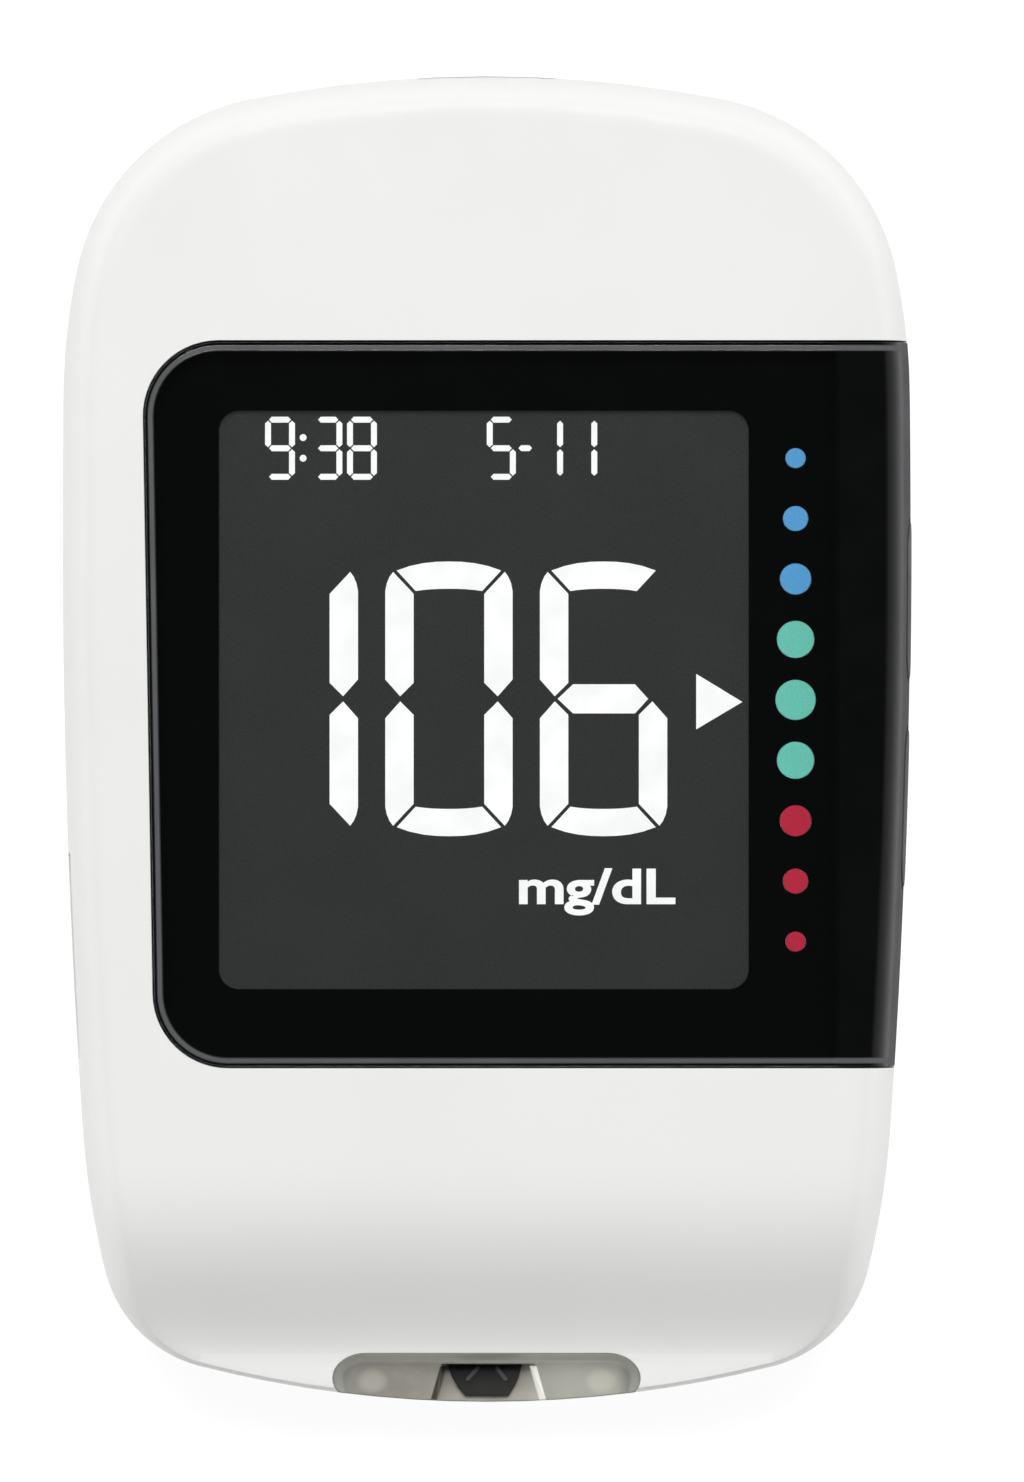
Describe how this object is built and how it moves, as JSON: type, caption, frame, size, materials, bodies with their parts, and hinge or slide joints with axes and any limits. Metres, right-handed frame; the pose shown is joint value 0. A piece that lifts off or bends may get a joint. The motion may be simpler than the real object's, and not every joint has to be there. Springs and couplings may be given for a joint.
{
  "type": "blood glucose meter",
  "caption": "Hand-held blood glucose meter with a side-wrapping display window, a strip port in its sloping nose, side buttons, a strip ejector and a hinged battery door.",
  "frame": {"origin": "middle of the outline, on the flat back", "axes": "+X to the right side with the buttons, +Y toward the USB end, +Z out of the display"},
  "size_m": [0.0492, 0.0766, 0.0153],
  "materials": {
    "white_front": "white ABS, semi-gloss",
    "white_rear": "white ABS, satin",
    "white_door": "white ABS, satin",
    "window_acrylic": "polished acrylic, clear over the display and black round it",
    "black_print": "black print layer",
    "blue_print": "blue print",
    "green_print": "green print",
    "red_print": "red print",
    "lcd_front": "display glass with polariser",
    "lcd_rear": "display glass with polariser",
    "light_plate": "clear light plate with white backing",
    "holder_plastic": "white frame",
    "zebra_rubber": "layered silicone rubber",
    "board_laminate": "green solder mask",
    "chip_black": "moulded chip packages",
    "usb_steel": "plated sheet",
    "usb_plastic": "black insulator",
    "guide_plastic": "pale translucent grey",
    "connector_plastic": "cream moulding",
    "contact_gold": "gold-plated blades",
    "button_black": "black, satin",
    "switch_case": "sheet cover",
    "stem_plastic": "dark plunger",
    "cell_steel": "steel can",
    "contact_sheet": "nickel-plated spring sheet",
    "ejector_grey": "pale grey, satin",
    "spring_steel": "spring wire",
    "screw_steel": "zinc-plated"
  },
  "bodies": {
    "root": {"front_cover": "white_front", "rear_cover": "white_rear", "display_window": "window_acrylic", "window_mask": "black_print", "low_range_dots": "blue_print", "target_range_dots": "green_print", "high_range_dots": "red_print", "lcd_front_glass": "lcd_front", "lcd_rear_glass": "lcd_rear", "lcd_backlight": "light_plate", "lcd_holder": "holder_plastic", "zebra_strip": "zebra_rubber", "main_board": "board_laminate", "board_chips": "chip_black", "usb_socket": "usb_steel", "usb_tongue": "usb_plastic", "strip_port_guide": "guide_plastic", "strip_connector": "connector_plastic", "strip_contacts": "contact_gold", "back_switch": "switch_case", "forward_switch": "switch_case", "upper_cell": "cell_steel", "lower_cell": "cell_steel", "negative_contacts": "contact_sheet", "positive_contacts": "contact_sheet", "ejector_spring": "spring_steel", "case_screws": "screw_steel"},
    "back_button": {"back_button": "button_black", "back_switch_stem": "stem_plastic"},
    "forward_button": {"forward_button": "button_black", "forward_switch_stem": "stem_plastic"},
    "ejector": {"ejector_slider": "ejector_grey"},
    "battery_door": {"battery_door": "white_door"}
  },
  "joints": [
    {"name": "back_button_press", "type": "slide", "parent": "root", "child": "back_button", "axis": [-1, 0, 0], "range_m": [0, 0.0004], "stiffness_N_per_m": 1500},
    {"name": "forward_button_press", "type": "slide", "parent": "root", "child": "forward_button", "axis": [-1, 0, 0], "range_m": [0, 0.0004], "stiffness_N_per_m": 1500},
    {"name": "ejector_slide", "type": "slide", "parent": "root", "child": "ejector", "axis": [0, -1, 0], "range_m": [0, 0.004], "stiffness_N_per_m": 150, "deforming": ["ejector_spring"]},
    {"name": "battery_door_hinge", "type": "hinge", "parent": "root", "child": "battery_door", "pos_m": [0, -0.01355, 0.00025], "axis": [-1, 0, 0], "range_deg": [0, 70]}
  ]
}
